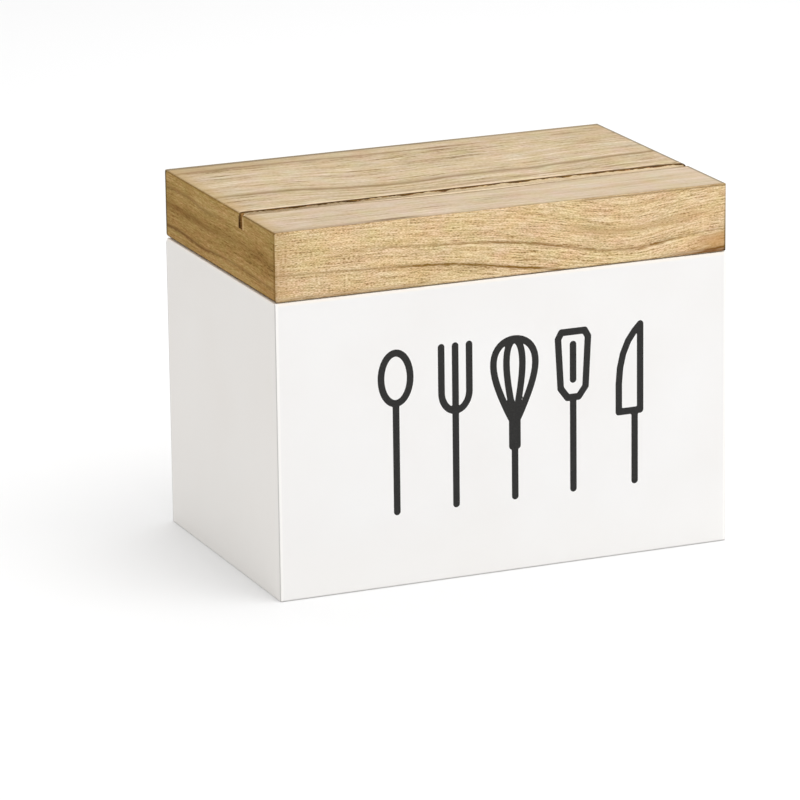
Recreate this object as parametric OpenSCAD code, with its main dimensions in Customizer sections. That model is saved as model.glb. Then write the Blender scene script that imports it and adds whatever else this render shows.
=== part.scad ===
// Recipe card box: a painted body of mitred panels with a solid wood lid on two brass hinges.
// The origin is the middle of the base, with +X to the right, +Y to the back and +Z up.

/* [Body] */
// Outer width of the body and the lid
box_w = 175.26; // [130:0.01:260]
// Outer depth of the body and the lid, front to back
box_d = 109.22; // [80:0.01:200]
// Height of the body up to its rim
body_h = 109.1; // [60:0.1:180]
// Thickness of the four walls, and of the lid's rim
wall = 9; // [8.5:0.5:14]
// Rounding of the body's outer edges
body_round = 0.5; // [0.3:0.1:1.5]
// Chamfer along the inner edges of the body's rim
rim_ease = 0.4; // [0.1:0.1:0.7]

/* [Bottom panel] */
// Thickness of the bottom panel
bottom_t = 4; // [3:0.5:8]
// Height of its underside above the table
bottom_raise = 2; // [1:0.5:6]
// How far it reaches into the groove in each wall
groove_depth = 4; // [2:0.5:5]
// Clearance round it in the groove
groove_fit = 0.15; // [0.05:0.05:0.3]

/* [Lid] */
// Height of the lid block
lid_h = 25.22; // [20:0.01:40]
// Thickness left over the hollow in its underside
lid_top_t = 12.2; // [10:0.1:15]
// Rounding of the lid's upright corners and of the edges along its two ends
lid_round = 1.2; // [0.4:0.1:2.5]
// Rounding of the lid's upper edges along its front and back
lid_top_round = 0.9; // [0.3:0.1:2.5]
// Rounding of the lid's lower edges along its front and back
lid_low_round = 0.5; // [0.2:0.1:1]
// Corner radius of the hollow
hollow_round = 4; // [2:0.5:10]
// Gap between the closed lid and the rim
lid_gap = 0.3; // [0.15:0.05:0.6]
// Angle at which the open lid's bevel meets the body's bevel
stop_angle = 100; // [92:1:116]

/* [Card slot] */
// Width of the slot
slot_w = 3.4; // [2:0.1:5]
// Depth of the slot
slot_depth = 5.5; // [3:0.1:7]
// Distance from the lid's front to the middle of the slot
slot_from_front = 32; // [20:0.5:60]
// Chamfer along both lips of the slot
slot_ease = 0.3; // [0.1:0.1:0.6]

/* [Hinges] */
// Distance from a side of the box to the middle of the nearer hinge
hinge_from_side = 35.6; // [24:0.1:60]
// Length of a hinge
hinge_len = 26; // [20:1:40]
// Diameter of the knuckles
barrel_d = 3; // [2.6:0.1:3.4]
// Distance from the knuckles to the plane of the back
barrel_back = 0.5; // [0.3:0.1:0.8]
// Width of a leaf's flat part
leaf_flat = 4.6; // [4:0.1:4.9]
// Thickness of a leaf
leaf_t = 0.7; // [0.65:0.05:1]
// Gap between the two leaves when the lid is closed
leaf_gap = 0.1; // [0.05:0.05:0.3]
// Gap between neighbouring knuckles, end to end
knuckle_gap = 0.15; // [0.1:0.05:0.4]
// Clearance of the wood round leaves and knuckles
hinge_fit = 0.25; // [0.15:0.05:0.4]
// Diameter of the hinge pin
pin_d = 1.5; // [1:0.1:1.7]
// Radial clearance of the pin in the knuckles
pin_fit = 0.05; // [0.02:0.01:0.1]
// Diameter of the pin's riveted ends
pin_head_d = 2.2; // [1.9:0.1:2.5]
// Thickness of the pin's riveted ends
pin_head_t = 0.35; // [0.2:0.05:0.6]

/* [Screws] */
// Distance between the two screws of a leaf
screw_pitch = 16; // [10:1:18]
// Diameter of a screw's head
screw_head_d = 2.8; // [2.3:0.1:3.2]
// Height of a screw's conical head
screw_head_t = 0.6; // [0.4:0.05:0.65]
// Diameter of a screw's shank
screw_d = 1.5; // [1.2:0.1:1.9]
// Length of a screw, head included
screw_len = 8; // [5:0.5:12]
// Length of a screw's point
screw_tip = 1.6; // [1:0.1:2.5]
// Clearance round a screw, and how far its head lies below the leaf's face
screw_fit = 0.05; // [0.02:0.01:0.1]
// Width of the two bars of the cross in a screw's head
cross_w = 0.35; // [0.2:0.05:0.5]
// Length of the bars of the cross
cross_len = 1.5; // [1:0.1:1.8]
// Depth of the cross
cross_depth = 0.35; // [0.2:0.05:0.38]

/* [Hidden] */
$fn = 48;

cut = 1; // how far a cutting shape runs past what it cuts
half_w = box_w / 2;
half_d = box_d / 2;
inner_w = box_w - 2 * wall;
inner_d = box_d - 2 * wall;
lid_z = body_h + lid_gap;
lid_top_z = lid_z + lid_h;
slot_y = slot_from_front - half_d;
hinge_x = half_w - hinge_from_side;

barrel_r = barrel_d / 2;
pin_r = pin_d / 2;
bore_r = pin_r + pin_fit;
axis_y = half_d - barrel_back - barrel_r;
axis_z = body_h + lid_gap / 2;
bevel_angle = stop_angle / 2;
knuckle_len = (hinge_len - 2 * knuckle_gap) / 3;
leaf_reach = barrel_r + leaf_flat;
relief_r = barrel_r + hinge_fit;
relief_len = hinge_len + 2 * (knuckle_gap + pin_head_t + hinge_fit);
screw_y = -barrel_r - leaf_flat / 2;

paint = [0.95, 0.95, 0.94];
wood = [0.83, 0.72, 0.55];
brass = [0.80, 0.64, 0.33];

// A rectangle standing on the X axis, with one radius for its lower and one for its upper corners
module eased_profile(w, h, r_low, r_high) {
    translate([-w / 2, r_low])
        square([w, h - r_low - r_high]);
    translate([-w / 2 + r_low, 0])
        square([w - 2 * r_low, h / 2]);
    translate([-w / 2 + r_high, h / 2])
        square([w - 2 * r_high, h / 2]);
    for (side = [-1, 1]) {
        translate([side * (w / 2 - r_low), r_low])
            circle(r_low);
        translate([side * (w / 2 - r_high), h - r_high])
            circle(r_high);
    }
}

// A block on the XY plane with all twelve edges rounded: the upright ones, and, given as lower and
// upper radius, those along its ends and those along its front and back
module eased_block(w, d, h, r_up, r_ends, r_long) {
    intersection() {
        translate([0, -d / 2, -cut])
            linear_extrude(h + 2 * cut)
                eased_profile(w, d, r_up, r_up);
        rotate([90, 0, 0])
            linear_extrude(d + 2 * cut, center = true)
                eased_profile(w, h, r_ends[0], r_ends[1]);
        rotate([90, 0, 90])
            linear_extrude(w + 2 * cut, center = true)
                eased_profile(d, h, r_long[0], r_long[1]);
    }
}

// The wedge above and below the seam that the hinge side's bevels take away: side 1 is the lid's
module bevel_cut(side) {
    run = half_d - axis_y + cut;
    translate([0, axis_y, axis_z])
        rotate([90, 0, 90])
            linear_extrude(box_w + 2 * cut, center = true)
                polygon([[0, 0], [run, side * run * tan(bevel_angle)], [run, -side * run]]);
}

// Room in the wood for one hinge: side 1 is the lid's half, side -1 the body's
module hinge_pocket(side) {
    pocket_len = hinge_len + 2 * hinge_fit;
    pocket_y = leaf_reach + hinge_fit;
    floor_z = leaf_gap / 2 + leaf_t;
    low_z = side > 0 ? -cut : -floor_z;
    translate([-pocket_len / 2, -pocket_y, low_z])
        cube([pocket_len, pocket_y, floor_z + cut]);
    rotate([0, 90, 0])
        cylinder(h = relief_len, r = relief_r, center = true);
    for (x = [-screw_pitch / 2, screw_pitch / 2]) {
        translate([x, screw_y, 0])
            mirror([0, 0, side > 0 ? 1 : 0])
                pilot_hole();
    }
}

module pilot_hole() {
    translate([0, 0, -screw_len - screw_fit])
        cylinder(h = screw_len, r = screw_d / 2 + screw_fit);
}

module at_hinges() {
    for (side = [-1, 1])
        at_hinge(side)
            children();
}

module at_hinge(side) {
    translate([side * hinge_x, axis_y, axis_z])
        children();
}

// The whole body's walls as one piece, before they are split at the mitres
module body_walls() {
    rounds = [body_round, body_round];
    difference() {
        eased_block(box_w, box_d, body_h, body_round, rounds, rounds);
        translate([-inner_w / 2, -inner_d / 2, -cut])
            cube([inner_w, inner_d, body_h + 2 * cut]);
        rim_chamfer();
        translate([-inner_w / 2 - groove_depth, -inner_d / 2 - groove_depth, bottom_raise])
            cube([inner_w + 2 * groove_depth, inner_d + 2 * groove_depth, bottom_t]);
    }
}

// What the chamfer takes away round the mouth of the cavity
module rim_chamfer() {
    intersection() {
        rotate([90, 0, 0])
            linear_extrude(box_d, center = true)
                rim_flare(inner_w / 2);
        rotate([90, 0, 90])
            linear_extrude(box_w, center = true)
                rim_flare(inner_d / 2);
    }
}

// Its outline across one side of the cavity, as wide as the cavity at the bottom
module rim_flare(half) {
    polygon([[-half, body_h - rim_ease], [half, body_h - rim_ease],
        [half + rim_ease + cut, body_h + cut], [-half - rim_ease - cut, body_h + cut]]);
}

// The upright prism that a wall along X fills between its mitres: side -1 is the front
module mitre_long(side) {
    translate([0, 0, -cut])
        linear_extrude(body_h + 2 * cut)
            polygon([[-half_w - cut, side * (half_d + cut)], [half_w + cut, side * (half_d + cut)],
                [inner_w / 2 - cut, side * (inner_d / 2 - cut)],
                [-inner_w / 2 + cut, side * (inner_d / 2 - cut)]]);
}

// The same for a wall along Y: side -1 is the left
module mitre_short(side) {
    translate([0, 0, -cut])
        linear_extrude(body_h + 2 * cut)
            polygon([[side * (half_w + cut), -half_d - cut], [side * (half_w + cut), half_d + cut],
                [side * (inner_w / 2 - cut), inner_d / 2 - cut],
                [side * (inner_w / 2 - cut), -inner_d / 2 + cut]]);
}

module front_panel() {
    color(paint)
        intersection() {
            body_walls();
            mitre_long(-1);
        }
}

module back_panel() {
    color(paint)
        difference() {
            intersection() {
                body_walls();
                mitre_long(1);
            }
            bevel_cut(-1);
            at_hinges()
                hinge_pocket(-1);
        }
}

module side_panel(side) {
    color(paint)
        difference() {
            intersection() {
                body_walls();
                mitre_short(side);
            }
            bevel_cut(-1);
        }
}

module bottom_panel() {
    w = inner_w + 2 * (groove_depth - groove_fit);
    d = inner_d + 2 * (groove_depth - groove_fit);
    color(paint)
        translate([-w / 2, -d / 2, bottom_raise])
            cube([w, d, bottom_t]);
}

module lid() {
    color(wood)
        difference() {
            translate([0, 0, lid_z])
                eased_block(box_w, box_d, lid_h, lid_round, [lid_round, lid_round],
                    [lid_low_round, lid_top_round]);
            lid_hollow();
            card_slot();
            bevel_cut(1);
            at_hinges()
                hinge_pocket(1);
        }
}

module lid_hollow() {
    translate([0, -inner_d / 2, lid_z - cut])
        linear_extrude(lid_h - lid_top_t + cut)
            eased_profile(inner_w, inner_d, hollow_round, hollow_round);
}

module card_slot() {
    half = slot_w / 2;
    lip = half + slot_ease;
    translate([0, slot_y, lid_top_z])
        rotate([90, 0, 90])
            linear_extrude(box_w + 2 * cut, center = true)
                polygon([[-half, -slot_depth], [half, -slot_depth], [half, -slot_ease],
                    [lip, 0], [lip, cut], [-lip, cut], [-lip, 0], [-half, -slot_ease]]);
}

// One knuckle, with the tongue that joins it to its leaf's flat part
module knuckle(x) {
    translate([x, 0, 0])
        rotate([90, 0, 90])
            linear_extrude(knuckle_len, center = true)
                difference() {
                    union() {
                        circle(barrel_r);
                        translate([-relief_r, -leaf_gap / 2 - leaf_t])
                            square([relief_r, leaf_t]);
                    }
                    circle(bore_r);
                }
}

// A leaf below the seam, with a knuckle at each of the given places along it
module leaf(knuckles) {
    difference() {
        union() {
            translate([-hinge_len / 2, -leaf_reach, -leaf_gap / 2 - leaf_t])
                cube([hinge_len, leaf_reach - relief_r, leaf_t]);
            for (x = knuckles)
                knuckle(x);
        }
        for (x = [-screw_pitch / 2, screw_pitch / 2])
            translate([x, screw_y, 0])
                screw_seat();
    }
}

// The countersunk hole in a leaf, which follows the screw's own shape all round
module screw_seat() {
    head_top = -leaf_gap / 2 - screw_fit;
    translate([0, 0, -leaf_t - cut])
        cylinder(h = leaf_t + 2 * cut, r = screw_d / 2 + screw_fit);
    translate([0, 0, head_top - screw_head_t])
        cylinder(h = screw_head_t, r1 = screw_d / 2 + screw_fit, r2 = screw_head_d / 2 + screw_fit);
    translate([0, 0, head_top])
        cylinder(h = cut, r = screw_head_d / 2 + screw_fit);
}

// The body's leaf has the two outer knuckles
module body_leaf(side) {
    outer_x = knuckle_len + knuckle_gap;
    color(brass)
        at_hinge(side)
            leaf([-outer_x, outer_x]);
}

// The lid's leaf is turned over, and has the middle knuckle
module lid_leaf(side) {
    color(brass)
        at_hinge(side)
            mirror([0, 0, 1])
                leaf([0]);
}

module hinge_pin(side) {
    shank = hinge_len + 2 * pin_fit;
    color(brass)
        at_hinge(side)
            rotate([0, 90, 0]) {
                cylinder(h = shank, r = pin_r, center = true);
                for (end = [-1, 1])
                    translate([0, 0, end * (shank + pin_head_t) / 2])
                        cylinder(h = pin_head_t, r = pin_head_d / 2, center = true);
            }
}

// A countersunk wood screw pointing down, its head just under the leaf's face
module screw() {
    top = -leaf_gap / 2 - screw_fit;
    translate([0, 0, top])
        difference() {
            union() {
                translate([0, 0, -screw_head_t])
                    cylinder(h = screw_head_t, r1 = screw_d / 2, r2 = screw_head_d / 2);
                translate([0, 0, -screw_len + screw_tip])
                    cylinder(h = screw_len - screw_tip, r = screw_d / 2);
                translate([0, 0, -screw_len])
                    cylinder(h = screw_tip, r1 = 0, r2 = screw_d / 2);
            }
            for (turn = [0, 90])
                rotate([0, 0, turn])
                    cube([cross_len, cross_w, 2 * cross_depth], center = true);
        }
}

module leaf_screws() {
    for (x = [-screw_pitch / 2, screw_pitch / 2])
        translate([x, screw_y, 0])
            screw();
}

module body_hinge_screws() {
    color(brass)
        at_hinges()
            leaf_screws();
}

module lid_hinge_screws() {
    color(brass)
        at_hinges()
            mirror([0, 0, 1])
                leaf_screws();
}

front_panel();
back_panel();
side_panel(-1);  // left_panel
side_panel(1);  // right_panel
bottom_panel();
lid();
body_leaf(-1);  // body_leaf_left
body_leaf(1);  // body_leaf_right
lid_leaf(-1);  // lid_leaf_left
lid_leaf(1);  // lid_leaf_right
hinge_pin(-1);  // hinge_pin_left
hinge_pin(1);  // hinge_pin_right
body_hinge_screws();
lid_hinge_screws();
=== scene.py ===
import math
import random

import bmesh
import bpy
import numpy as np
from mathutils import Matrix, Vector


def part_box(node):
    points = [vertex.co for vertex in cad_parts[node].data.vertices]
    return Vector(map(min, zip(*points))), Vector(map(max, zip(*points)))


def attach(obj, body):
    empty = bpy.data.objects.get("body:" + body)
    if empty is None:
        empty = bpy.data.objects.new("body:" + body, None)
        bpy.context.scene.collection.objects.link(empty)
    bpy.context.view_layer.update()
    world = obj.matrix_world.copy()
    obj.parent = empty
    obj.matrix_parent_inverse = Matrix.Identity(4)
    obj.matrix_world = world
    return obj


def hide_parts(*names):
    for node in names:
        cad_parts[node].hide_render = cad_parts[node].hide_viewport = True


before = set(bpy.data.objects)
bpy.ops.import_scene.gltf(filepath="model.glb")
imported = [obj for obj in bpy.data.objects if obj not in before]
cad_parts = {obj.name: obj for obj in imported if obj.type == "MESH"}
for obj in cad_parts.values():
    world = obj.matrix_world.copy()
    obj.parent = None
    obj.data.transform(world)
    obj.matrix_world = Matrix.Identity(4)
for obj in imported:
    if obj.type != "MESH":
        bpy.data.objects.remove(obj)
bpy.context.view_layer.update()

# The part's lengths are in millimetres, and MM turns them into metres
MM = 0.001
LID_LOW, LID_HIGH = (Vector(corner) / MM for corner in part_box("lid"))
FRONT_HIGH = Vector(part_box("front_panel")[1]) / MM
HALF_W = LID_HIGH.x
HALF_D = LID_HIGH.y
LID_TOP = LID_HIGH.z
LID_H = LID_HIGH.z - LID_LOW.z
RIM_Z = FRONT_HIGH.z

# The card slot, as in the part
SLOT_W = 3.4
SLOT_DEPTH = 5.5
SLOT_Y = 32.0 - HALF_D

scene = bpy.context.scene


# Node trees written as arithmetic


class Field:
    """One output of a shader node. Arithmetic on fields adds Math nodes to their tree."""

    def __init__(self, tree, socket):
        self.tree = tree
        self.socket = socket

    def apply(self, operation, *others, clamp=False):
        """The result of a Math node on this field and the others."""
        inputs = dict(enumerate((self, *others)))
        return add_node(self.tree, "ShaderNodeMath", inputs, operation=operation, use_clamp=clamp)

    def __add__(self, other):
        return self.apply("ADD", other)

    def __sub__(self, other):
        return self.apply("SUBTRACT", other)

    def __rsub__(self, other):
        return (self * -1.0) + other

    def __mul__(self, other):
        return self.apply("MULTIPLY", other)

    def __truediv__(self, other):
        return self.apply("DIVIDE", other)

    __radd__ = __add__
    __rmul__ = __mul__

    def least(self, other):
        """The smaller of the two."""
        return self.apply("MINIMUM", other)

    def most(self, other):
        """The larger of the two."""
        return self.apply("MAXIMUM", other)

    def magnitude(self):
        """The field without its sign."""
        return self.apply("ABSOLUTE")

    def clamped(self):
        """The field, held between 0 and 1."""
        return self.apply("ADD", 0.0, clamp=True)

    def step(self, low, high):
        """0 below low and 1 above high, smooth between; low may be the larger one."""
        inputs = {"Value": self, "From Min": low, "From Max": high}
        return add_node(self.tree, "ShaderNodeMapRange", inputs, interpolation_type="SMOOTHSTEP")

    def bell(self, width):
        """1 where the field is 0, falling off smoothly over the width on either side."""
        scaled = self / width
        return (scaled * scaled * -1.0).apply("EXPONENT")


def add_node(tree, kind, inputs=(), output=0, **settings):
    """A new node's output, with fields linked to its inputs and plain values set on them."""
    node = tree.nodes.new(kind)
    for name, value in settings.items():
        setattr(node, name, value)
    for key, value in dict(inputs).items():
        if isinstance(value, Field):
            tree.links.new(value.socket, node.inputs[key])
        else:
            node.inputs[key].default_value = value
    return Field(tree, node.outputs[output])


def split(vector):
    """The x, y and z fields of a vector."""
    return [add_node(vector.tree, "ShaderNodeSeparateXYZ", {0: vector}, output=axis) for axis in range(3)]


def place(tree):
    """The point on the piece in the part's own frame, in millimetres: x, y and z fields."""
    point = add_node(tree, "ShaderNodeTexCoord", output="Object")
    return [axis / MM for axis in split(point)]


def facing(tree):
    """The surface's direction in the part's own frame."""
    return split(add_node(tree, "ShaderNodeTexCoord", output="Normal"))


def noise(x, y, z, detail=2.0):
    """Smooth noise from 0 to 1 whose features are about one unit wide.

    Noise that varies over fewer than three directions gets plain numbers for the others. The
    last of them differs from one such noise to the next, so that each has its own pattern.
    """
    vector = add_node(x.tree, "ShaderNodeCombineXYZ", {0: x, 1: y, 2: z})
    inputs = {"Vector": vector, "Scale": 1.0, "Detail": detail, "Roughness": 0.5}
    return add_node(x.tree, "ShaderNodeTexNoise", inputs, output="Fac")


def follow(x, points, span, rise):
    """A smooth curve through given points: x runs from 0 to span and the result from 0 to rise."""
    node = x.tree.nodes.new("ShaderNodeFloatCurve")
    x.tree.links.new((x / span).socket, node.inputs["Value"])
    curve = node.mapping.curves[0]
    places = [(px / span, py / rise) for px, py in points]
    curve.points[0].location = places[0]
    curve.points[1].location = places[-1]
    for spot in places[1:-1]:
        curve.points.new(*spot)
    node.mapping.extend = "HORIZONTAL"
    node.mapping.update()
    return Field(x.tree, node.outputs["Value"]) * rise


def linear(rgb):
    """A colour given as 0 to 255 sRGB, as linear RGBA."""
    values = [c / 255.0 for c in rgb]
    return [c / 12.92 if c <= 0.04045 else ((c + 0.055) / 1.055) ** 2.4 for c in values] + [1.0]


def ramp(factor, stops):
    """Colours along a field from 0 to 1, given as (place, sRGB) stops."""
    node = factor.tree.nodes.new("ShaderNodeValToRGB")
    factor.tree.links.new(factor.socket, node.inputs["Fac"])
    elements = node.color_ramp.elements
    while len(elements) < len(stops):
        elements.new(0.5)
    for element, (spot, colour) in zip(elements, stops):
        element.position = spot
        element.color = linear(colour)
    return Field(factor.tree, node.outputs["Color"])


# The sockets of a Mix node that takes colours
MIX_FIRST, MIX_SECOND, MIX_RESULT = 6, 7, 2


def blend(factor, first, second):
    """The first colour where the factor is 0 and the second where it is 1: fields or sRGB."""
    node = factor.tree.nodes.new("ShaderNodeMix")
    node.data_type = "RGBA"
    factor.tree.links.new(factor.socket, node.inputs["Factor"])
    for socket, colour in ((node.inputs[MIX_FIRST], first), (node.inputs[MIX_SECOND], second)):
        if isinstance(colour, Field):
            factor.tree.links.new(colour.socket, socket)
        else:
            socket.default_value = linear(colour)
    return Field(factor.tree, node.outputs[MIX_RESULT])


def tinge(colour, warmth, blueness):
    """The colour with its red and green turned apart by one field and its blue raised by another."""
    red, green, blue = [
        add_node(colour.tree, "ShaderNodeSeparateColor", {0: colour}, output=band) for band in range(3)
    ]
    bands = {0: red * (warmth + 1.0), 1: green * (1.0 - warmth), 2: blue * (blueness + 1.0)}
    return add_node(colour.tree, "ShaderNodeCombineColor", bands)


def bump(height, distance):
    """A normal from a height field whose unit is the distance, in millimetres."""
    inputs = {"Height": height, "Distance": distance * MM, "Strength": 1.0}
    return add_node(height.tree, "ShaderNodeBump", inputs, output="Normal")


def new_material(name, **plain):
    """A material with one Principled shader; plain holds the shader's uniform values."""
    material = bpy.data.materials.new(name)
    material.use_nodes = True
    tree = material.node_tree
    shader = tree.nodes["Principled BSDF"]
    for socket, value in plain.items():
        shader.inputs[socket.replace("_", " ")].default_value = value
    return material, tree, shader


def wire(tree, shader, **fields):
    """Links fields to the shader's sockets of the same names."""
    for socket, field in fields.items():
        tree.links.new(field.socket, shader.inputs[socket.replace("_", " ")])


# Wood of the lid

# Dark growth lines on the lid's front: distance from the left end, depth below the top
FRONT_UPPER = [(0, 9.3), (42, 9.6), (55, 10.4), (78, 11.8), (97, 14.0), (110, 16.5), (120, 18.7),
               (133, 20.3), (141, 20.2), (150, 19.0), (161, 17.5), (175, 16.6)]
FRONT_LOWER = [(0, 15.6), (30, 16.5), (52, 17.4), (65, 18.2), (78, 19.8), (90, 21.9), (105, 24.2),
               (120, 27.0), (133, 28.6), (150, 27.8), (163, 25.2), (175, 23.2)]
FRONT_BAND = [(100, 9.0), (112, 10.3), (122, 12.2), (133, 13.3), (145, 12.8), (155, 11.6), (175, 9.6)]

# Dark growth lines on the lid's top: distance from the left end, distance from the back
TOP_BACK = [(0, 10.5), (55, 10.3), (80, 11.4), (105, 11.2), (120, 10.6), (135, 9.8), (150, 11.0),
            (163, 14.6), (175, 17.0)]
TOP_MIDDLE = [(0, 51.3), (17, 51.1), (31, 52.2), (40, 54.4), (50, 57.0), (62, 58.7), (76, 58.6),
              (90, 56.8), (105, 56.2), (122, 56.6), (139, 54.8), (156, 52.6), (175, 51.4)]
TOP_BRANCH = [(0, 58.0), (60, 59.2), (78, 59.0), (90, 60.0), (175, 62.0)]
TOP_NEAR_SLOT = [(0, 66.0), (22, 66.7), (36, 67.5), (50, 69.2), (70, 70.0), (94, 69.0), (111, 67.8),
                 (133, 66.8), (155, 67.2), (175, 66.6)]

# The slot's worn lips, as on the top: distance from the left end, distance from the back
SLOT_REAR = [(0, 75.2), (28, 75.1), (44, 74.9), (60, 74.7), (78, 74.4), (100, 74.0), (125, 73.7),
             (150, 73.5), (164, 73.3), (171, 73.7), (175.3, 75.0)]
SLOT_FRONT = [(0, 79.4), (25, 79.5), (42, 79.8), (54, 80.9), (72, 81.9), (90, 82.0), (102, 81.6),
              (115, 80.8), (130, 80.0), (150, 79.6), (175.3, 79.2)]

# Beyond the lips, from the slot's middle
LIP_REACH = 5.3

# How far torn wood reaches into the slot from its rear lip: distance from the left end, reach
SLOT_TEARS = [(0, 0.2), (12, 0.2), (19, 1.6), (27, 1.1), (33, 0.1), (40, 0.3), (45, 2.6), (49, 0.3),
              (61, 0.1), (65, 2.2), (69, 0.4), (76, 0.2), (79, 3.2), (82, 0.4), (88, 0.2), (91, 1.5),
              (95, 0.2), (104, 0.3), (108, 2.0), (114, 0.3), (121, 0.1), (126, 1.2), (131, 0.2),
              (139, 1.9), (146, 0.6), (151, 2.2), (158, 1.2), (164, 2.6), (170, 1.0), (175.3, 0.4)]

# Dark bands on the lid's ends: distance from the back, depth below the top
END_UPPER = [(0, 6.4), (18, 5.4), (28, 5.5), (39, 6.6), (55, 6.4), (80, 7.4), (109, 8.4)]
END_MIDDLE = [(0, 12.8), (20, 12.2), (36, 12.7), (46, 12.8), (64, 11.5), (80, 11.3), (109, 12.2)]
END_LOWER = [(0, 20.5), (20, 20.3), (38, 21.3), (50, 20.5), (70, 19.8), (85, 20.3), (109, 20.6)]


def along_grain(u, points):
    """The height of a line that runs along the lid."""
    return follow(u, points, 2 * HALF_W, 2 * HALF_D)


def along_end(u, points):
    """The height of a line that runs across the lid's end."""
    return follow(u, points, 2 * HALF_D, LID_H)


def front_figure(u, v):
    """The lid's front, with u along the grain and v the depth below the top: colour and height."""
    upper = along_grain(u, FRONT_UPPER)
    lower = along_grain(u, FRONT_LOWER)
    # The place across the grain, which runs along both growth lines: 0 at the upper, 7 at the lower
    ring = (v - upper).least(0.0) + (v - upper).most(0.0) * 7.0 / (lower - upper)

    wander = noise(u / 14.0, v / 5.0, 0.0) - 0.5
    grit = noise(u / 0.95, ring / 0.31, 3.0, detail=1.0) - 0.5
    dashes = noise(u / 4.2, ring / 0.34, 11.0, detail=1.0) - 0.5
    streaks = noise(u / 17.0, ring / 0.62 + wander, 23.0) - 0.5
    bands = noise(u / 50.0, ring / 3.0, 31.0, detail=1.0) - 0.5
    hairs = noise(u / 13.0, ring / 0.48, 83.0, detail=1.0) - 0.5
    # Gritty at the left and more drawn out along the grain further right
    drawn = u.step(20.0, 80.0)
    tone = grit * (1.9 - drawn * 0.4) + dashes * (0.85 + drawn * 0.50) + streaks * 1.10 + bands * 0.40
    tone = tone + hairs * drawn * 0.7 + 0.60
    # A paler middle and right end, and a darker upper edge at the left
    tone = tone + (u - 72.0).bell(34.0) * v.step(14.0, 4.0) * 0.08 + u.step(120.0, 150.0) * 0.05
    tone = tone - v.step(3.0, 0.5) * u.step(70.0, 40.0) * 0.12
    warm = noise(u / 9.0, ring / 2.2, 59.0) * 1.7 - 0.66
    colour = blend(
        warm.clamped(),
        ramp(tone, [(0.0, (124, 94, 50)), (0.25, (178, 148, 99)), (0.45, (207, 178, 131)),
                    (0.60, (217, 188, 142)), (0.78, (230, 203, 158)), (1.0, (246, 222, 180))]),
        ramp(tone, [(0.0, (130, 88, 46)), (0.25, (181, 140, 94)), (0.45, (209, 172, 128)),
                    (0.60, (219, 183, 142)), (0.78, (232, 200, 160)), (1.0, (247, 219, 182))]),
    )

    rough = noise(u / 2.2, v / 0.9, 89.0) - 0.5
    ragged = dashes * 0.9 + wander * 0.5 + rough * 1.1
    even = noise(u / 5.0, ring / 1.5, 47.0) + rough * 0.9

    # A broad band and a warm patch, towards the right end
    band = (v - along_grain(u, FRONT_BAND) + ragged * 3.0).bell(1.5)
    band = band * u.step(104.0, 124.0) * u.step(176.0, 150.0)
    colour = blend((band * (0.42 + dashes * 1.6)).clamped(), colour, (172, 134, 86))
    patch = u.step(154.0, 174.0) * (v - upper).step(0.0, 2.5)
    colour = blend(patch * 0.68, colour, (188, 138, 84))

    # The two growth lines, and a darker foot near both ends
    strength = u.step(20.0, 50.0) * (0.48 + 0.40 * (u - 98.0).bell(24.0) + 0.50 * (u - 147.0).bell(8.0))
    line = (v - upper + ragged).bell(0.48) * (0.4 + even * 1.1)
    colour = blend((line * strength).clamped(), colour, (140, 104, 52))
    strength = 0.44 + 0.62 * u.step(44.0, 56.0)
    line = (v - lower + ragged * 0.8).bell(0.50) * (0.5 + even)
    colour = blend((line * strength).clamped(), colour, (130, 96, 38))
    foot = (v - LID_H + 0.9 + ragged * 0.5).bell(0.5 + 0.55 * u.step(158.0, 175.0))
    foot = foot * (u.step(74.0, 40.0) * 0.62 + u.step(144.0, 160.0) * 0.95)
    colour = blend(foot.clamped(), colour, (120, 74, 28))
    return colour, tone


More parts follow.
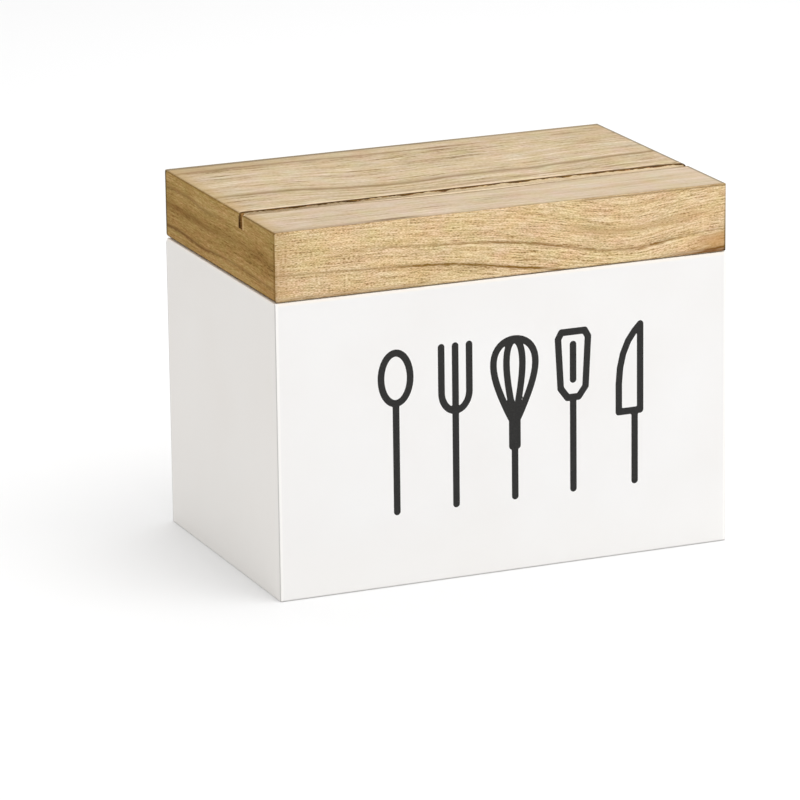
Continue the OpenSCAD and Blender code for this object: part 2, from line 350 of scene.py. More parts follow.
def top_figure(u, v):
    """The lid's top, with u along the grain and v the distance from the back: colour and height."""
    middle = along_grain(u, TOP_MIDDLE)
    # The place across the grain, which bends with the middle growth line
    ring = v - (middle - TOP_MIDDLE[0][1]) * v.step(0.0, 50.0) * v.step(96.0, 60.0)

    wander = noise(u / 18.0, v / 9.0, 5.0) - 0.5
    fine = noise(u / 9.0, ring / 1.1, 7.0) - 0.5
    streaks = noise(u / 38.0, ring / 1.9 + wander * 1.2, 17.0) - 0.5
    flecks = noise(u / 24.0, ring / 1.4, 29.0, detail=1.0).step(0.60, 0.76)
    bands = noise(u / 70.0, ring / 9.0, 37.0, detail=1.0) - 0.5
    grit = noise(u / 1.4, ring / 1.0, 97.0, detail=1.0) - 0.5
    tone = grit * 0.60 + fine * 1.05 + streaks * (1.00 + u.step(60.0, 110.0) * 0.25) + bands * 0.50
    tone = tone - flecks * 0.34 + 0.61
    # Paler and darker fields, and a plainer strip in front of the slot
    tone = tone + (u - 118.0).bell(30.0) * (v - 46.0).bell(10.0) * 0.14
    tone = tone - (u - 166.0).bell(20.0) * (v - 26.0).bell(11.0) * 0.12
    tone = tone - u.step(50.0, 15.0) * v.step(34.0, 12.0) * 0.10
    plain = v.step(78.0, 84.0) * (0.25 + u.step(60.0, 120.0) * 0.20)
    tone = tone - (tone - 0.68) * plain
    grey = v.step(70.0, 84.0) * 0.55 + noise(u / 20.0, v / 7.0, 53.0) * 2.4 - 1.06
    colour = blend(
        grey.clamped(),
        ramp(tone, [(0.0, (102, 77, 42)), (0.25, (149, 126, 89)), (0.45, (178, 156, 121)),
                    (0.60, (188, 167, 134)), (0.80, (198, 178, 147)), (1.0, (215, 197, 169))]),
        ramp(tone, [(0.0, (110, 86, 58)), (0.25, (155, 133, 107)), (0.45, (182, 162, 137)),
                    (0.60, (192, 173, 148)), (0.80, (200, 182, 160)), (1.0, (216, 200, 180))]),
    )

    ragged = fine * 2.6 + wander * 1.4
    even = noise(u / 8.0, ring / 1.6, 41.0, detail=3.0) * 1.2

    # The tanned strip along the back, and the growth lines
    tan = v.step(16.0, 7.0) * (0.20 + u.step(80.0, 0.0) * 0.45)
    colour = blend(tan, colour, (168, 145, 108))
    line = (v - along_grain(u, TOP_BACK) + ragged).bell(1.2) * (0.20 + 0.80 * u.step(130.0, 108.0))
    colour = blend((line * even).clamped(), colour, (126, 98, 60))
    line = (v - middle + ragged * 1.2).bell(1.7) * (0.35 + even)
    colour = blend((line * 0.85).clamped(), colour, (134, 111, 74))
    line = (v - along_grain(u, TOP_BRANCH) + ragged).bell(0.8) * u.step(52.0, 66.0) * u.step(92.0, 84.0)
    colour = blend((line * 0.5).clamped(), colour, (142, 120, 84))
    line = (v - along_grain(u, TOP_NEAR_SLOT) + ragged).bell(0.8)
    colour = blend((line * even * 0.75).clamped(), colour, (134, 106, 68))
    return colour, tone


def slot_lips(u, v, depth, colour):
    """Adds to the top's colour what shows beside the slot: a painted highlight on the lip behind, a thin
    line in front and a dark line along the rear lip.
    """
    to_end = u.least(2 * HALF_W - u)
    on_top = depth.step(0.5, 0.3) * to_end.step(0.6, 1.6)
    wave = noise(u / 7.0, 0.0, 71.0)
    rear = along_grain(u, SLOT_REAR)
    # A painted highlight on the eased rear lip
    glow = (v - rear + 1.5).bell(0.7) * wave.step(0.36, 0.52) * on_top
    colour = blend(glow * 0.6, colour, (236, 212, 178))
    lip = wave.step(0.70, 0.50).most(u.step(24.0, 14.0)).most(u.step(140.0, 150.0) * 0.7)
    line = (v - along_grain(u, SLOT_FRONT) - 0.4).bell(0.5) * lip * on_top
    colour = blend(line * 0.75, colour, (120, 88, 44))
    # A dark line along the rear lip, fainter at the right end
    rear_dark = (v - rear + 0.6).step(0.0, 0.4) * (v - rear - 0.5).step(0.3, 0.0)
    rear_dark = rear_dark * on_top * (1.0 - u.step(144.0, 154.0) * 0.35)
    return blend(rear_dark, colour, (78, 50, 14))


# How much a millimetre forward counts beside a millimetre down, in the reach of the dark rear line, the
# tears, the painted light and the painted shade
FORWARD_SHARE = 0.26


def slot_colour(u, v, depth):
    """The slot's walls: a dark line at the rear lip, torn wood, pale sawn wood, painted shade in the depth
    and darker walls near its open ends, with u along it and v the distance from the lid's back.
    """
    speck = noise(u / 1.5, v / 1.2, depth / 0.35)
    dark_noise = noise(u / 5.0, v / 2.0, depth / 0.9, detail=3.0)
    ripple = noise(u / 5.0, 0.0, 67.0).step(0.36, 0.62)
    stain = noise(u / 9.0, 0.0, 79.0)

    # From the rear lip inwards: a dark line and torn wood, then the pale sawn wood, lifted further in by
    # painted light, then painted shade in the depth
    reach = (v - along_grain(u, SLOT_REAR)) * FORWARD_SHARE + depth
    tear = along_grain(u, SLOT_TEARS) * FORWARD_SHARE
    slot_depth_shade = ramp(dark_noise, [(0.30, (52, 32, 8)), (0.5, (92, 62, 24)), (0.70, (132, 98, 54))])
    rear_dark = ramp(dark_noise, [(0.34, (62, 38, 6)), (0.5, (88, 60, 20)), (0.66, (122, 90, 42))])
    pale = blend(
        stain.step(0.52, 0.66),
        ramp(speck, [(0.30, (172, 148, 110)), (0.5, (194, 171, 134)), (0.68, (208, 187, 152))]),
        ramp(speck, [(0.30, (162, 126, 78)), (0.5, (196, 162, 114)), (0.68, (220, 192, 146))]),
    )
    torn = ramp(speck, [(0.34, (66, 38, 12)), (0.50, (122, 78, 38)), (0.66, (196, 146, 98))])
    # Painted light that lifts the wall further in, where shade falls
    pale = blend(reach.step(0.5, 1.2) * 0.65, pale, (236, 214, 180))
    colour = blend(reach.step(1.9, 2.5), pale, slot_depth_shade)
    colour = blend((tear + speck * 0.5 + 0.05 - reach).step(0.0, 0.2) * 0.9, colour, torn)
    colour = blend((ripple * 0.50 + tear * 0.35 + 0.20 - reach).step(0.0, 0.14), colour, rear_dark)

    # Darker walls near the slot's open ends, reaching less far at the right one
    to_end = u.least(2 * HALF_W - u)
    right_half = u.step(80.0, 90.0)
    from_open_end = to_end / 2.0 - (speck - 0.5) * 0.5 - right_half * 0.3
    inner = ramp(from_open_end, [(0.05, (58, 36, 8)), (0.30, (106, 74, 30)), (0.62, (172, 130, 76))])
    near_end = (to_end + right_half * 1.3).step(2.6, 1.8)
    return blend(near_end * depth.step(0.2, 0.5).most(right_half), colour, inner)


def end_figure(u, v):
    """The lid's ends, with u the distance from the back and v the depth: colour and height."""
    middle = along_end(u, END_MIDDLE)
    # The place across the grain, which bends with the middle band
    ring = v - (middle - END_MIDDLE[-1][1]) * 0.8
    wander = noise(u / 12.0, v / 5.0, 9.0) - 0.5
    fine = noise(u / 2.4, ring / 0.45 + wander, 13.0) - 0.5
    streaks = noise(u / 10.0, ring / 0.8 + wander, 19.0) - 0.5
    bands = noise(u / 50.0, ring / 3.0, 43.0, detail=1.0) - 0.5
    tone = fine * 1.15 + streaks * 0.95 + bands * 0.60 + 0.51 + v.step(12.0, 20.0) * 0.06
    far = (u - HALF_D).magnitude().step(18.0, 44.0)
    # Paler near the top and darker half way down
    tone = tone + (v - 3.0).bell(5.0) * (0.18 - far * 0.10) - (v - 13.0).bell(4.0) * (0.05 + far * 0.12)
    warm = noise(u / 9.0, ring / 1.4, 61.0) * 2.0 - 0.80 + v.step(13.0, 20.0) * 0.2
    colour = blend(
        warm.clamped(),
        ramp(tone, [(0.0, (98, 72, 20)), (0.25, (144, 111, 50)), (0.50, (167, 134, 72)),
                    (0.75, (183, 151, 90)), (1.0, (204, 174, 114))]),
        ramp(tone, [(0.0, (104, 66, 20)), (0.25, (148, 107, 53)), (0.50, (170, 128, 73)),
                    (0.75, (186, 146, 91)), (1.0, (208, 168, 116))]),
    )

    # The three dark bands
    ragged = fine * 1.4 + wander * 1.2
    line = (v - along_end(u, END_UPPER) + ragged).bell(0.7) * u.step(74.0, 35.0)
    colour = blend(line * 0.55, colour, (128, 92, 42))
    line = (v - middle + ragged * 1.3).bell(1.3) * (0.35 + 0.25 * u.step(62.0, 40.0))
    colour = blend(line, colour, (134, 96, 42))
    line = (v - along_end(u, END_LOWER) + ragged * 0.7).bell(0.6) * (0.42 + 0.40 * u.step(60.0, 40.0))
    colour = blend(line, colour, (112, 74, 28))
    return colour, tone


# Dark brown for the sharp edges: painted shade on the ends' upper arrises, and a dark line on the top's
# left edge
EDGE_BROWN = (124, 96, 48)


def edges(x, y, depth, colour, is_end, is_top):
    """Adds the sanded edges: darker lines along the arrises, part of them painted shade, and painted
    highlights along some of them.
    """
    left, right = x + HALF_W, HALF_W - x
    front, back = y + HALF_D, HALF_D - y
    low = LID_H - depth
    on_face = 1.0 - is_end.most(is_top)
    patchy = noise(x / 12.0, y / 12.0, depth / 12.0)
    broken = noise(x / 2.0, y / 2.0, depth / 2.0).step(0.30, 0.52)

    # The top's own edges
    colour = blend(left.step(7.0, 1.0) * is_top * 0.42, colour, (174, 142, 92))
    colour = blend(left.step(0.9, 0.4) * is_top * 0.5, colour, EDGE_BROWN)
    strength = (0.85 + patchy * 0.50 - left.step(90.0, 130.0) * 0.35) * depth.step(2.0, 1.0)
    rim = back.step(4.2, 2.0) * is_top * strength
    colour = blend(rim.clamped(), colour, (134, 118, 92))
    colour = blend(right.step(2.2, 1.4) * is_top * depth.step(2.0, 1.0) * 0.85, colour, (128, 117, 98))

    # The arrises of the ends: painted shade over the rounding between the top and the ends, and darker
    # lines along the upright corners
    colour = blend(left.step(9.0, 1.0) * on_face * 0.30, colour, (172, 134, 82))
    arris = depth.step(0.85, 0.45) * is_end.most((left + depth).step(1.3, 1.1))
    colour = blend(arris * (1.0 - is_top) * (0.55 + broken * 0.3), colour, EDGE_BROWN)
    colour = blend(back.step(2.8, 1.5) * is_end * (0.72 + broken * 0.28), colour, (94, 78, 42))
    colour = blend(front.step(1.7, 0.8) * is_end * (0.25 + broken * 0.25), colour, (116, 84, 36))
    strength = right.step(1.3, 0.6) * on_face * (0.25 + depth.step(2.0, 20.0) * 0.55)
    colour = blend(strength, colour, (92, 80, 46))

    # The front's upper arris: painted shade along all of it, a broken dark line near both ends, and a
    # painted highlight in the middle
    near_left = left.step(62.0, 48.0)
    near_right = left.step(108.0, 122.0)
    dark = near_left.most(near_right)
    # Painted shade over the rounded arris, which would otherwise catch more light than the front
    line = front.step(1.1, 0.7) * depth.step(0.42, 0.24) * (1.0 - is_end)
    colour = blend(line * (0.34 + near_left * 0.10) * (0.5 + patchy), colour, (124, 96, 60))
    left_dark_line = near_left * (0.30 + (left - 47.0).bell(13.0) * 0.70) * (0.75 + broken * 0.25)
    colour = blend(((front - 1.7).bell(0.95) * is_top * left_dark_line).clamped(), colour, (106, 78, 44))
    colour = blend((depth - 0.62).bell(0.33) * on_face * near_right * 0.75, colour, (136, 108, 68))
    # A painted highlight along the middle of the arris
    wear_and_highlight = (depth - 0.75).bell(0.3) * on_face * (1.0 - dark + (left - 32.0).bell(7.0)) * broken
    colour = blend(wear_and_highlight * 0.22, colour, (244, 224, 190))

    # The lower arrises, which close on the rim: painted shade along the seam, a faint painted highlight a
    # millimetre above it, and a dark lower right corner
    colour = blend(low.step(1.05, 0.5) * is_end * 0.95, colour, (64, 42, 8))
    colour = blend(low.step(0.55, 0.2) * on_face * 0.55, colour, (96, 74, 42))
    colour = blend((low - 1.0).bell(0.3) * on_face * patchy.step(0.30, 0.55) * 0.45, colour, (244, 220, 180))
    return blend((right + low).step(2.6, 1.4) * on_face * 0.85, colour, (58, 42, 18))


def wood_material():
    material, tree, shader = new_material("lid_wood", Roughness=0.75, Specular_IOR_Level=0.10)
    x, y, z = place(tree)
    nx, _, nz = facing(tree)
    from_left = x + HALF_W
    from_back = HALF_D - y
    depth = LID_TOP - z
    front_colour, front_tone = front_figure(from_left, depth)
    top_colour, top_tone = top_figure(from_left, from_back)
    end_colour, end_tone = end_figure(from_back, depth)
    is_end = nx.magnitude().step(0.62, 0.80)
    is_top = nz.magnitude().step(0.78, 0.90)
    colour = blend(is_top, blend(is_end, front_colour, end_colour), top_colour)
    tone = front_tone + (end_tone - front_tone) * is_end
    tone = tone + (top_tone - tone) * is_top

    # Faint pink and green patches a few millimetres wide
    warmth = (noise(x / 9.0, y / 12.0, z / 5.0) - 0.5) * 0.12
    blueness = (noise(y / 12.0, z / 5.0, x / 9.0) - 0.5) * (0.34 - is_end * 0.30)
    colour = tinge(colour, warmth, blueness)

    colour = edges(x, y, depth, colour, is_end, is_top)
    colour = slot_lips(from_left, from_back, depth, colour)

    # The dark line, and a painted highlight on the eased edge, beside the slot's notch in the ends
    beside = depth.step(SLOT_DEPTH + 0.3, SLOT_DEPTH - 0.2) * depth.step(0.7, 1.5) * is_end
    colour = blend((y - SLOT_Y - SLOT_W / 2 - 0.2).bell(0.5) * beside * 0.7, colour, (106, 74, 28))
    colour = blend((y - SLOT_Y + SLOT_W / 2 + 0.6).bell(0.55) * beside * 0.75, colour, (226, 194, 142))

    # The slot's walls and floor; near the ends only what lies between its lips
    in_slot = (y - SLOT_Y).magnitude().step(LIP_REACH + 0.1, LIP_REACH - 0.1)
    in_slot = in_slot * depth.step(0.02, 0.06) * depth.step(SLOT_DEPTH + 1.7, SLOT_DEPTH + 1.3)
    in_slot = in_slot * nx.magnitude().step(0.8, 0.5)
    past_rear = (from_back - along_grain(from_left, SLOT_REAR) + 0.15).step(0.0, 0.2)
    past_front = (from_back - along_grain(from_left, SLOT_FRONT) - 0.25).step(0.0, 0.2)
    in_slot = in_slot * (HALF_W - x.magnitude()).step(1.0, 1.3).most(past_rear * (1.0 - past_front))
    colour = blend(in_slot, colour, slot_colour(from_left, from_back, depth))

    wire(tree, shader, Base_Color=colour, Normal=bump(tone, 0.05))
    return material


# White paint, print and brass


def paint_material():
    material, tree, shader = new_material("white_paint", Roughness=0.42, Specular_IOR_Level=0.45)
    x, y, z = place(tree)
    mist = noise(x / 40.0, y / 40.0, z / 40.0)
    peel = noise(x / 0.9, y / 0.9, z / 0.9)
    sweep = noise(x / 14.0, y / 14.0, z / 1.6)
    colour = ramp(mist, [(0.3, (244, 242, 240)), (0.7, (247, 246, 245))])
    on_end = facing(tree)[0].magnitude().step(0.3, 0.7)
    # Painted warm reflected light on the ends, and a paler foot on all the walls: painted light that lifts
    # the shade near the floor
    colour = blend(on_end * 0.35, colour, (249, 241, 230))
    colour = blend(on_end * z.step(70.0, 5.0) * 0.30, colour, (252, 250, 246))
    colour = blend((1.0 - on_end) * z.step(30.0, 2.0) * 0.35, colour, (252, 250, 247))
    # Painted light and shade: a paler rim under the lid with a painted warm shade line at the ends' seam,
    # painted shade and a painted highlight along the upright corners, and a painted shadow along the line
    # where the box stands
    colour = blend(z.step(RIM_Z - 1.5, RIM_Z - 0.5), colour, (254, 247, 238))
    colour = blend(on_end * z.step(RIM_Z - 0.28, RIM_Z - 0.10) * 0.5, colour, (170, 130, 80))
    near_front = (HALF_D - y.magnitude()).step(1.1, 0.5)
    near_side = (HALF_W - x.magnitude()).step(1.4, 0.7)
    colour = blend(on_end * near_front * 0.9, colour, (204, 202, 199))
    colour = blend((1.0 - on_end) * near_side * near_front, colour, (255, 253, 250))
    colour = blend(z.step(0.7, 0.25) * (0.75 - on_end * 0.6), colour, (188, 186, 183))
    wire(tree, shader, Base_Color=colour, Normal=bump(peel * 0.6 + sweep, 0.02))
    return material


def print_material():
    material, tree, shader = new_material("print_ink", Roughness=0.6, Specular_IOR_Level=0.25)
    x, y, z = place(tree)
    speck = noise(x / 0.6, y / 0.6, z / 0.6, detail=3.0)
    colour = ramp(speck, [(0.3, (34, 33, 32)), (0.6, (42, 41, 40)), (0.85, (56, 55, 54))])
    wire(tree, shader, Base_Color=colour, Normal=bump(speck, 0.01))
    return material


def brass_material():
    material, tree, shader = new_material("brass", Metallic=1.0, Specular_IOR_Level=0.5)
    x, y, z = place(tree)
    tarnish = noise(x / 6.0, y / 2.0, z / 2.0, detail=3.0)
    brush = noise(x / 4.0, y / 0.12, z / 0.12)
    colour = ramp(tarnish, [(0.3, (190, 158, 98)), (0.55, (208, 180, 120)), (0.8, (222, 198, 142))])
    wire(tree, shader, Base_Color=colour, Roughness=0.28 + brush * 0.16, Normal=bump(brush, 0.008))
    return material


# The lid, with the slot's torn lips


def coat(piece, material):
    """Gives the piece this material and no other."""
    piece.data.materials.clear()
    piece.data.materials.append(material)


def copy_of_node(name, node):
    """A new object with the node's own shape, with joined vertices and whole flat faces."""
    piece = bpy.data.objects.new(name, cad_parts[node].data.copy())
    scene.collection.objects.link(piece)
    piece.data.materials.clear()
    shape = bmesh.new()
    shape.from_mesh(piece.data)
    bmesh.ops.remove_doubles(shape, verts=shape.verts, dist=0.001 * MM)
    bmesh.ops.dissolve_limit(shape, angle_limit=math.radians(0.5), verts=shape.verts, edges=shape.edges)
    shape.to_mesh(piece.data)
    shape.free()
    return piece


def new_piece(name, mesh):
    """A new object with the finished shape, which is freed."""
    data = bpy.data.meshes.new(name)
    mesh.to_mesh(data)
    mesh.free()
    piece = bpy.data.objects.new(name, data)
    scene.collection.objects.link(piece)
    return piece


def cut_out(piece, cutter):
    """Takes the cutter's shape out of the piece's own mesh, and the cutter out of the scene."""
    cut = piece.modifiers.new("cut", "BOOLEAN")
    cut.operation = "DIFFERENCE"
    cut.solver = "EXACT"
    cut.object = cutter
    bpy.context.view_layer.update()
    made = piece.evaluated_get(bpy.context.evaluated_depsgraph_get())
    mesh = bpy.data.meshes.new_from_object(made)
    piece.modifiers.clear()
    piece.data = mesh
    bpy.data.objects.remove(cutter)


def smooth(piece):
    """Smooth shading that keeps edges over 32 degrees, weighted so that flat faces stay flat."""
    piece.data.shade_smooth()
    piece.data.set_sharp_from_angle(angle=math.radians(32.0))
    weighted = piece.modifiers.new("weighted", "WEIGHTED_NORMAL")
    weighted.keep_sharp = True
    weighted.weight = 100


def on_line(points, u):
    """The height at u of the straight pieces between the points."""
    for (u0, v0), (u1, v1) in zip(points, points[1:]):
        if u <= u1:
            return v0 + (v1 - v0) * max(0.0, u - u0) / (u1 - u0)
    return points[-1][1]


def torn_slot():
    """What the saw and the torn fibres took out of the lid: a long prism with uneven lips."""
    rng = random.Random(7)
    step = 0.5
    past = 1.0
    count = int((2 * HALF_W + 2 * past) / step)
    half = SLOT_W / 2
    narrowest = half + 0.1
    mesh = bmesh.new()
    rings = []
    for i in range(count + 1):
        x = -HALF_W - past + i * step
        u = min(max(x + HALF_W, 0.0), 2 * HALF_W)
        rear = max(HALF_D - on_line(SLOT_REAR, u) - SLOT_Y, narrowest) + 0.12 * rng.random()
        front = min(HALF_D - on_line(SLOT_FRONT, u) - SLOT_Y, -narrowest) - 0.15 * rng.random()
        tear = 0.02 + 0.03 * on_line(SLOT_TEARS, u) * (0.6 + 0.4 * rng.random())
        wear_and_highlight = min(0.20 + 0.45 * (rear - half), 1.15) + 0.12 * rng.random()
        low = SLOT_DEPTH + 0.10 * rng.random()
        profile = [
            (rear + 0.5, 0.5),
            (rear, 0.0),
            (half + 0.05, -wear_and_highlight),
            (half + 0.02, -low),
            (-half - 0.02, -low),
            (-half - 0.05, -0.12 - tear),
            (front, 0.0),
            (front - 0.5, 0.5),
        ]
        rings.append([mesh.verts.new((x * MM, (SLOT_Y + py) * MM, (LID_TOP + pz) * MM))
                      for py, pz in profile])
    for first, second in zip(rings, rings[1:]):
        for j in range(len(first)):
            k = (j + 1) % len(first)
            mesh.faces.new((first[j], first[k], second[k], second[j]))
    mesh.faces.new(rings[0][::-1])
    mesh.faces.new(rings[-1])
    bmesh.ops.recalc_face_normals(mesh, faces=mesh.faces)
    return new_piece("torn_slot", mesh)


def make_lid(material):
    """The lid with its slot as it is after sawing and use."""
    lid = copy_of_node("lid_block", "lid")
    cut_out(lid, torn_slot())
    smooth(lid)
    coat(lid, material)
    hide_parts("lid")
    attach(lid, "lid_body")


# The print on the front: a row of five kitchen tools in one line width

PRINT_HEIGHT = 61.0
PRINT_LINE = 2.6
PRINT_MIDDLE = (3.5, 57.0)
PRINT_PITCH = 23.0
PRINT_HALF_W = 2.5 * PRINT_PITCH
PRINT_DEEP = 0.12

# The lowest and the highest point of a line's middle, above the print's foot
LINE_LOW = 1.25
LINE_HIGH = 59.75


def bow(cx, cy, rx, ry, start, end, count=40):
    """Points of an ellipse's arc, with the angles in degrees from +x."""
    angles = [math.radians(start + (end - start) * i / count) for i in range(count + 1)]
    return [(cx + rx * math.cos(t), cy + ry * math.sin(t)) for t in angles]


def spoon():
    return [bow(0, 50.5, 5.6, 9.25, -90, 270), [(0, 41.2), (0, LINE_LOW)]]


def fork():
    tines = [[(x, LINE_HIGH), (x, 43.0)] for x in (-5.4, 0.0, 5.4)]
    return tines + [bow(0, 43.0, 5.4, 7.0, 180, 360), [(0, 43.0), (0, LINE_LOW)]]


def drop(low, high, half_width, count=48):
    """Points round a closed loop that is pointed at its lower end and widest near its upper one."""
    angles = [2 * math.pi * i / count for i in range(count + 1)]
    tall = high - low
    return [(half_width * math.sin(t) * (0.62 - 0.38 * math.cos(t)), low + tall * (1 - math.cos(t)) / 2)
            for t in angles]


def whisk():
    wires = [drop(29.0, 59.7, 11.6), drop(30.5, 59.3, 4.4)]
    return wires + [[(0, 29.0), (0, LINE_LOW)], [(-1.0, 30.0), (-1.0, 20.0)], [(1.0, 30.0), (1.0, 20.0)]]


def turner():
    blade = [(-5.9, 57.4), (-4.6, LINE_HIGH), (4.6, LINE_HIGH), (5.9, 57.4), (4.9, 39.0), (2.2, 35.4),
             (-2.2, 35.4), (-4.9, 39.0), (-5.9, 57.4)]
    return [blade, [(0, 55.0), (0, 42.0)], [(0, 35.4), (0, LINE_LOW)]]


def knife():
    blade = [(3.6, 59.6), (1.4, 57.4), (-1.2, 53.8), (-3.2, 49.2), (-4.4, 44.0), (-4.9, 38.0),
             (-4.9, 27.6), (3.6, 27.6), (3.6, 59.6)]
    return [blade, [(1.4, 27.6), (1.4, LINE_LOW)]]


def print_lines():
    """Every line of the print, in millimetres on the front panel: x to the right and z up."""
    tools = [spoon(), fork(), whisk(), turner(), knife()]
    dz = PRINT_MIDDLE[1] - PRINT_HEIGHT / 2
    lines = []
    for i, tool in enumerate(tools):
        dx = PRINT_MIDDLE[0] + (i - len(tools) // 2) * PRINT_PITCH
        lines += [[(x + dx, z + dz) for x, z in line] for line in tool]
    return lines


def line_distance(grid_x, grid_z, lines):
    """Distance from each grid point to the nearest line."""
    nearest = np.full(grid_x.shape, np.inf)
    for line in lines:
        for (ax, az), (bx, bz) in zip(line, line[1:]):
            dx, dz = bx - ax, bz - az
            t = ((grid_x - ax) * dx + (grid_z - az) * dz) / (dx * dx + dz * dz)
            t = np.clip(t, 0.0, 1.0)
            nearest = np.minimum(nearest, np.hypot(grid_x - ax - t * dx, grid_z - az - t * dz))
    return nearest


def print_solid(name, front_y, back_y):
    """A closed solid of the print's lines between two depths, cut out along their even outline."""
    cell = 0.4
    margin = 2.0
    cols = int(2 * PRINT_HALF_W / cell) + 1
    rows = int((PRINT_HEIGHT + 2 * margin) / cell) + 1
    xs = PRINT_MIDDLE[0] - PRINT_HALF_W + cell * np.arange(cols)
    zs = PRINT_MIDDLE[1] - PRINT_HEIGHT / 2 - margin + cell * np.arange(rows)
    grid_x, grid_z = np.meshgrid(xs, zs, indexing="ij")
    inside = PRINT_LINE / 2 - line_distance(grid_x, grid_z, print_lines())

    mesh = bmesh.new()
    made = {}

    def vertex(start, end):
        """The vertex at a grid point, given twice, or where the outline crosses between two."""
        first, last = min(start, end), max(start, end)
        if (first, last) not in made:
            t = 0.0 if first == last else inside[first] / (inside[first] - inside[last])
            x = xs[first[0]] + t * (xs[last[0]] - xs[first[0]])
            z = zs[first[1]] + t * (zs[last[1]] - zs[first[1]])
            made[first, last] = mesh.verts.new((x * MM, front_y * MM, z * MM))
        return made[first, last]

    for i in range(cols - 1):
        for j in range(rows - 1):
            ring = [(i, j), (i + 1, j), (i + 1, j + 1), (i, j + 1)]
            if all(inside[c] <= 0 for c in ring):
                continue
            outline = []
            for here, after in zip(ring, ring[1:] + ring[:1]):
                if inside[here] > 0:
                    outline.append(vertex(here, here))
                if (inside[here] > 0) != (inside[after] > 0):
                    outline.append(vertex(here, after))
            mesh.faces.new(outline)
    bmesh.ops.dissolve_limit(mesh, angle_limit=math.radians(1.0), verts=mesh.verts, edges=mesh.edges)
    grown = bmesh.ops.extrude_face_region(mesh, geom=mesh.faces[:])
    moved = [item for item in grown["geom"] if isinstance(item, bmesh.types.BMVert)]
    bmesh.ops.translate(mesh, verts=moved, vec=(0, (back_y - front_y) * MM, 0))
    bmesh.ops.recalc_face_normals(mesh, faces=mesh.faces)
    return new_piece(name, mesh)


def make_front(paint, ink):
    """The front panel with the print let in flush, so that nothing stands proud of the panel."""
    panel = copy_of_node("front_face", "front_panel")
    cut_out(panel, print_solid("print_cutter", -HALF_D - 0.5, -HALF_D + PRINT_DEEP))
    smooth(panel)
    coat(panel, paint)
    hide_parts("front_panel")
    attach(panel, "box_body")

    tools = print_solid("kitchen_tools_print", -HALF_D, -HALF_D + PRINT_DEEP)
    coat(tools, ink)
    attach(tools, "box_body")


# Dressing of the CAD nodes

PAINTED = ["back_panel", "left_panel", "right_panel", "bottom_panel"]
BRASS = ["body_leaf_left", "body_leaf_right", "lid_leaf_left", "lid_leaf_right",
         "hinge_pin_left", "hinge_pin_right", "body_hinge_screws", "lid_hinge_screws"]


def dress(names, material):
    """Coats CAD nodes, which keep their own shape."""
    for name in names:
        coat(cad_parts[name], material)


# Camera, light and floor: lengths without MM are in metres

CAMERA_TARGET = Vector((-18.06, 0.0, 52.31)) * MM
CAMERA_AZIMUTH = math.radians(-22.71)
CAMERA_ELEVATION = math.radians(15.63)
CAMERA_ROLL = math.radians(-0.73)
CAMERA_DISTANCE = 1.900
FOCAL_PIXELS = 5194.9
IMAGE_PIXELS = 800
SENSOR_MM = 36.0

LAMP_TARGET = Vector((0.0, 0.0, 0.06))
FLOOR_REACH = 6.0
FLOOR_GREY = (0.80, 0.80, 0.80, 1.0)
FLOOR_GLOW = 0.10


def direction(azimuth, elevation):
    """The unit vector from the box towards a place seen at these angles: azimuth 0 is the front."""
    level = math.cos(elevation)
    return Vector((math.sin(azimuth) * level, -math.cos(azimuth) * level, math.sin(elevation)))


def make_camera():
    back = direction(CAMERA_AZIMUTH, CAMERA_ELEVATION)
    right = Vector((0, 0, 1)).cross(back).normalized()
    up = back.cross(right)
    turned = Matrix.Rotation(CAMERA_ROLL, 3, back)
    right, up = turned @ right, turned @ up
    data = bpy.data.cameras.new("camera")
    data.sensor_fit = "HORIZONTAL"
    data.sensor_width = SENSOR_MM
    data.lens = FOCAL_PIXELS / IMAGE_PIXELS * SENSOR_MM
    data.clip_start = 0.05
    data.clip_end = 50.0
    camera = bpy.data.objects.new("camera", data)
    pose = Matrix((right, up, back)).transposed().to_4x4()
    pose.translation = CAMERA_TARGET + back * CAMERA_DISTANCE
    camera.matrix_world = pose
    scene.collection.objects.link(camera)
    scene.camera = camera


def lamp(name, azimuth, elevation, distance, size, power):
    """A round lamp that faces the box, with its angles in degrees and its lengths in metres."""
    data = bpy.data.lights.new(name, "AREA")
    data.shape = "DISK"
    data.size = size
    data.energy = power
    light = bpy.data.objects.new(name, data)
    away = direction(math.radians(azimuth), math.radians(elevation))
    light.location = LAMP_TARGET + away * distance
    light.rotation_euler = away.to_track_quat("Z", "Y").to_euler()
    scene.collection.objects.link(light)


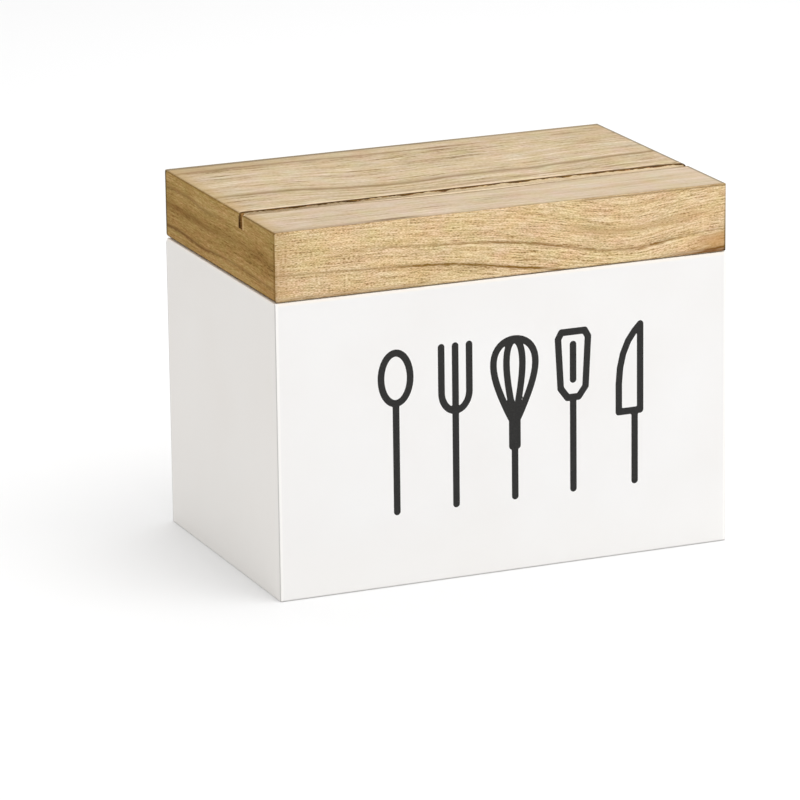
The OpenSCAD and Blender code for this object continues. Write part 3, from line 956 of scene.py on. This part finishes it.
def make_world(strength):
    """Even light of this strength, and plain white wherever the world itself is seen."""
    world = bpy.data.worlds.new("studio")
    scene.world = world
    world.use_nodes = True
    tree = world.node_tree
    background = tree.nodes["Background"]
    background.inputs["Color"].default_value = (1.0, 1.0, 1.0, 1.0)
    seen = add_node(tree, "ShaderNodeLightPath", output="Is Camera Ray")
    glossy = add_node(tree, "ShaderNodeLightPath", output="Is Glossy Ray")
    through = add_node(tree, "ShaderNodeLightPath", output="Is Transmission Ray")
    white = seen.most(glossy).most(through)
    level = strength + white * (1.0 - strength)
    tree.links.new(level.socket, background.inputs["Strength"])


def make_floor():
    """A pale floor with a faint glow to the camera, which makes it white beyond the shadow."""
    mesh = bpy.data.meshes.new("floor")
    near, far = -FLOOR_REACH, FLOOR_REACH
    corners = [(near, near, 0), (far, near, 0), (far, far, 0), (near, far, 0)]
    mesh.from_pydata(corners, [], [(0, 1, 2, 3)])
    floor = bpy.data.objects.new("floor", mesh)
    scene.collection.objects.link(floor)
    material = bpy.data.materials.new("floor")
    material.use_nodes = True
    tree = material.node_tree
    tree.nodes.remove(tree.nodes["Principled BSDF"])
    surface = add_node(tree, "ShaderNodeBsdfDiffuse", {"Color": FLOOR_GREY}, output="BSDF")
    seen = add_node(tree, "ShaderNodeLightPath", output="Is Camera Ray")
    glow = add_node(tree, "ShaderNodeEmission", {"Strength": seen * FLOOR_GLOW}, output="Emission")
    both = add_node(tree, "ShaderNodeAddShader", {0: surface, 1: glow}, output="Shader")
    tree.links.new(both.socket, tree.nodes["Material Output"].inputs["Surface"])
    mesh.materials.append(material)


make_camera()
make_world(strength=0.70)
lamp("key", azimuth=30, elevation=60, distance=1.6, size=1.6, power=13.2)
lamp("back", azimuth=150, elevation=60, distance=1.6, size=1.6, power=7.3)
make_floor()

paint = paint_material()
wood = wood_material()
ink = print_material()
brass = brass_material()
dress(PAINTED, paint)
dress(BRASS, brass)
make_lid(wood)
make_front(paint, ink)

scene.view_settings.view_transform = "Standard"
